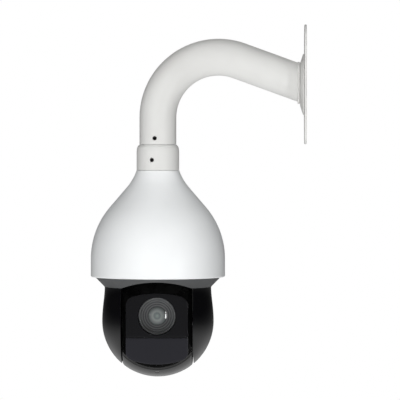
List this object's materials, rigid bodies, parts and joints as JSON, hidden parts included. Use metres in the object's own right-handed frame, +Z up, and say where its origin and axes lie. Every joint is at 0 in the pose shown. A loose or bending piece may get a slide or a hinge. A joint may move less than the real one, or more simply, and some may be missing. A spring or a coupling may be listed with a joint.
{
  "type": "ptz camera",
  "caption": "Dome camera head that pans and tilts in a yoke under a bell-shaped housing, hung from a goose-neck wall bracket with a round-cornered plate.",
  "frame": {"origin": "centre of the wall plate's back face, where the bracket meets the wall", "axes": "+X into the wall, +Z up, the arm runs to -X and the lens faces -Y at rest"},
  "size_m": [0.2991, 0.1862, 0.4876],
  "materials": {
    "warm_grey_paint": "light warm grey powder coat, fine orange peel",
    "white_paint": "satin white powder coat",
    "dark_plastic": "matte dark grey moulded plastic",
    "black_gloss": "glossy near-black moulded plastic",
    "window_glass": "smoked window glass",
    "ring_metal": "satin turned ring",
    "lens_coating": "coated optical glass",
    "steel": "ground steel",
    "black_steel": "black oxide",
    "aluminium": "plain aluminium",
    "rubber": "black rubber",
    "brass": "plain brass",
    "nylon": "natural nylon",
    "circuit_board": "green circuit board",
    "clear_resin": "clear moulded resin"
  },
  "bodies": {
    "bracket": {"wall_plate": "warm_grey_paint", "arm_flange": "warm_grey_paint", "arm_tube": "warm_grey_paint", "tube_set_screw_1": "black_steel", "tube_set_screw_2": "black_steel", "tube_set_screw_3": "black_steel", "adapter_collar": "warm_grey_paint", "collar_set_screw_1": "black_steel", "collar_set_screw_2": "black_steel", "collar_set_screw_3": "black_steel", "neck_spigot": "aluminium", "cable_grommet": "rubber", "top_housing": "white_paint", "rim_ring": "dark_plastic", "rim_seal": "rubber", "chassis_deck": "aluminium", "pan_bearing": "steel", "pan_motor": "black_steel", "slip_ring": "nylon", "slip_ring_bridge": "aluminium", "main_board": "circuit_board"},
    "pan_drive": {"pan_pinion": "brass"},
    "yoke": {"yoke_base": "aluminium", "cone_ring": "dark_plastic", "pan_gear": "nylon", "pan_shaft": "steel", "pan_shaft_nut": "steel", "slip_ring_rotor": "nylon", "yoke_arm_left": "dark_plastic", "yoke_arm_right": "dark_plastic", "side_cover_left": "black_gloss", "side_cover_right": "black_gloss", "tilt_bearing_left": "steel", "tilt_bearing_right": "steel", "tilt_motor": "black_steel"},
    "tilt_drive": {"tilt_pinion": "brass"},
    "head": {"ball_front_shell": "black_gloss", "ball_rear_shell": "black_gloss", "window_bezel": "black_gloss", "lens_window": "window_glass", "ir_window": "window_glass", "lens_ring": "ring_metal", "lens_glass": "lens_coating", "lens_barrel": "black_steel", "front_frame": "aluminium", "camera_cradle": "aluminium", "camera_block": "dark_plastic", "sensor_board": "circuit_board", "ir_board": "circuit_board", "ir_led_left": "clear_resin", "ir_led_right": "clear_resin", "trunnion_left": "steel", "trunnion_right": "steel", "tilt_gear": "nylon", "chin_screw": "black_steel"},
    "zoom_carriage": {"zoom_group": "lens_coating"},
    "focus_carriage": {"focus_group": "lens_coating"},
    "filter_carriage": {"ir_cut_filter": "clear_resin"}
  },
  "joints": [
    {"name": "pan", "type": "hinge", "parent": "bracket", "child": "yoke", "pos_m": [-0.206, 0, -0.2464], "axis": [0, 0, 1], "continuous": true},
    {"name": "tilt", "type": "hinge", "parent": "yoke", "child": "head", "pos_m": [-0.206, 0, -0.32768], "axis": [1, 0, 0], "range_deg": [-15, 90]},
    {"name": "pan_pinion_spin", "type": "hinge", "parent": "bracket", "child": "pan_drive", "pos_m": [-0.206, 0.045, -0.2421], "axis": [0, 0, 1], "continuous": true},
    {"name": "tilt_pinion_spin", "type": "hinge", "parent": "yoke", "child": "tilt_drive", "pos_m": [-0.206, 0, -0.30768], "axis": [1, 0, 0], "range_deg": [-270, 45]},
    {"name": "zoom", "type": "slide", "parent": "head", "child": "zoom_carriage", "axis": [0, 1, 0], "range_m": [0, 0.012]},
    {"name": "focus", "type": "slide", "parent": "head", "child": "focus_carriage", "axis": [0, 1, 0], "range_m": [0, 0.006]},
    {"name": "filter_slide", "type": "slide", "parent": "head", "child": "filter_carriage", "axis": [1, 0, 0], "range_m": [-0.01, 0.01]}
  ],
  "couplings": [
    {"joint": "pan_pinion_spin", "follows": "pan", "ratio": -5},
    {"joint": "tilt_pinion_spin", "follows": "tilt", "ratio": -3}
  ]
}
